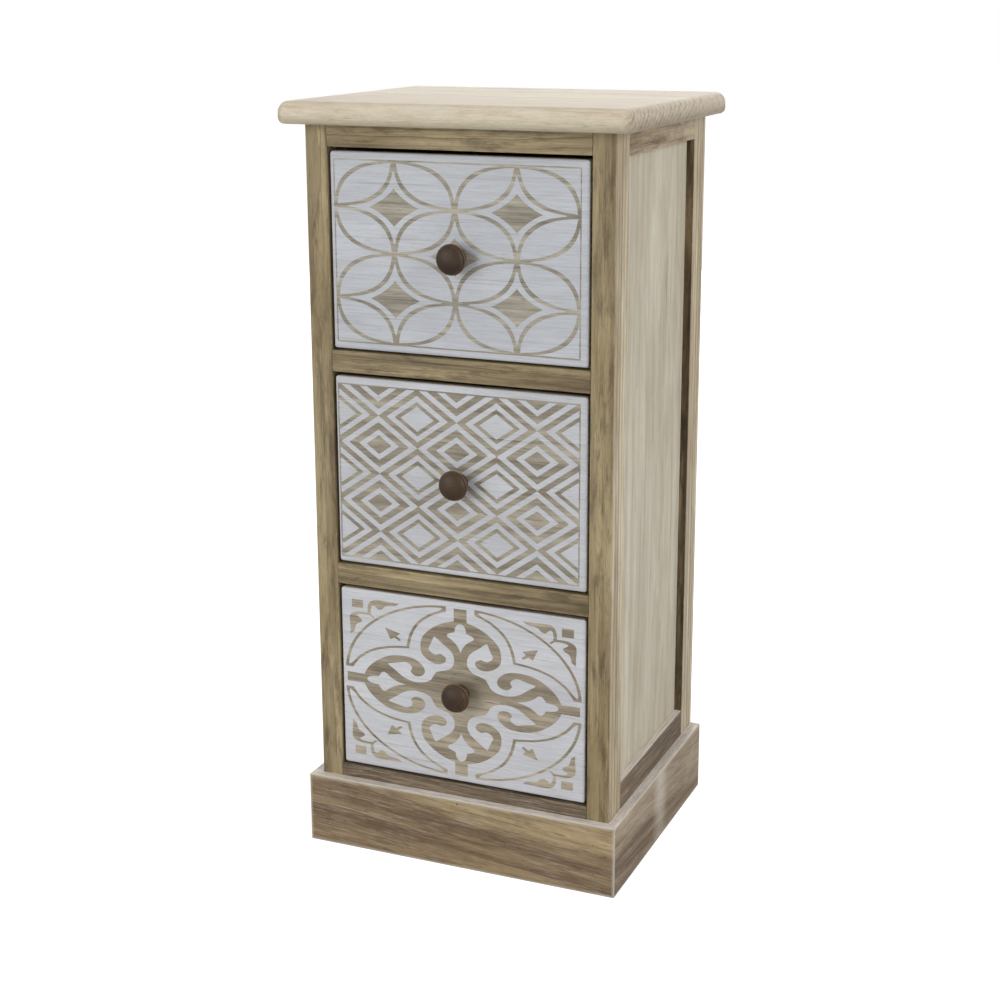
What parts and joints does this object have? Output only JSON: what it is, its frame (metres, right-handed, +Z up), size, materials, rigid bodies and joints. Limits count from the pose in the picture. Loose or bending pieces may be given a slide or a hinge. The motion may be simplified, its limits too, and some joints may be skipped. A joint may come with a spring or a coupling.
{
  "type": "nightstand",
  "caption": "Narrow nightstand with a framed and panelled wooden case on a plinth, a rounded top and stacked sliding drawers with turned knobs.",
  "frame": {"origin": "on the floor under the middle of the top board", "axes": "+Z up, the drawers face -Y, +X to the right of someone facing the drawers"},
  "size_m": [0.3, 0.252, 0.64],
  "materials": {
    "top_wood": "pale washed, satin",
    "frame_wood": "grey-brown washed, matt",
    "panel_wood": "pale washed, matt",
    "plinth_wood": "brown washed, matt, worn edges",
    "washed_front": "white wash with a pattern in bare wood, matt",
    "knob_wood": "dark stained, satin",
    "inner_wood": "bare, matt",
    "plywood": "bare plywood, matt",
    "beech": "bare, matt",
    "steel": "dull"
  },
  "bodies": {
    "case": {"back_nails": "steel", "back_panel": "plywood", "frame_dowels": "beech", "front_bottom_rail": "frame_wood", "front_left_post": "frame_wood", "front_lower_divider": "frame_wood", "front_right_post": "frame_wood", "front_top_rail": "frame_wood", "front_upper_divider": "frame_wood", "left_bottom_rail": "frame_wood", "left_panel": "panel_wood", "left_top_rail": "frame_wood", "lower_left_runner": "inner_wood", "lower_right_runner": "inner_wood", "middle_left_runner": "inner_wood", "middle_right_runner": "inner_wood", "plinth_brads": "steel", "plinth_front": "plinth_wood", "plinth_left": "plinth_wood", "plinth_right": "plinth_wood", "rear_bottom_rail": "frame_wood", "rear_left_post": "frame_wood", "rear_right_post": "frame_wood", "rear_top_rail": "frame_wood", "right_bottom_rail": "frame_wood", "right_panel": "panel_wood", "right_top_rail": "frame_wood", "runner_nails": "steel", "top_board": "top_wood", "top_screws": "steel", "upper_left_runner": "inner_wood", "upper_right_runner": "inner_wood"},
    "upper_drawer": {"upper_drawer_back": "inner_wood", "upper_drawer_bottom": "plywood", "upper_drawer_front": "washed_front", "upper_drawer_left_side": "inner_wood", "upper_drawer_nails": "steel", "upper_drawer_right_side": "inner_wood", "upper_knob": "knob_wood", "upper_knob_screw": "steel"},
    "middle_drawer": {"middle_drawer_back": "inner_wood", "middle_drawer_bottom": "plywood", "middle_drawer_front": "washed_front", "middle_drawer_left_side": "inner_wood", "middle_drawer_nails": "steel", "middle_drawer_right_side": "inner_wood", "middle_knob": "knob_wood", "middle_knob_screw": "steel"},
    "lower_drawer": {"lower_drawer_back": "inner_wood", "lower_drawer_bottom": "plywood", "lower_drawer_front": "washed_front", "lower_drawer_left_side": "inner_wood", "lower_drawer_nails": "steel", "lower_drawer_right_side": "inner_wood", "lower_knob": "knob_wood", "lower_knob_screw": "steel"}
  },
  "joints": [
    {"name": "upper_drawer_slide", "type": "slide", "parent": "case", "child": "upper_drawer", "axis": [0, -1, 0], "range_m": [0, 0.15]},
    {"name": "middle_drawer_slide", "type": "slide", "parent": "case", "child": "middle_drawer", "axis": [0, -1, 0], "range_m": [0, 0.15]},
    {"name": "lower_drawer_slide", "type": "slide", "parent": "case", "child": "lower_drawer", "axis": [0, -1, 0], "range_m": [0, 0.15]}
  ]
}
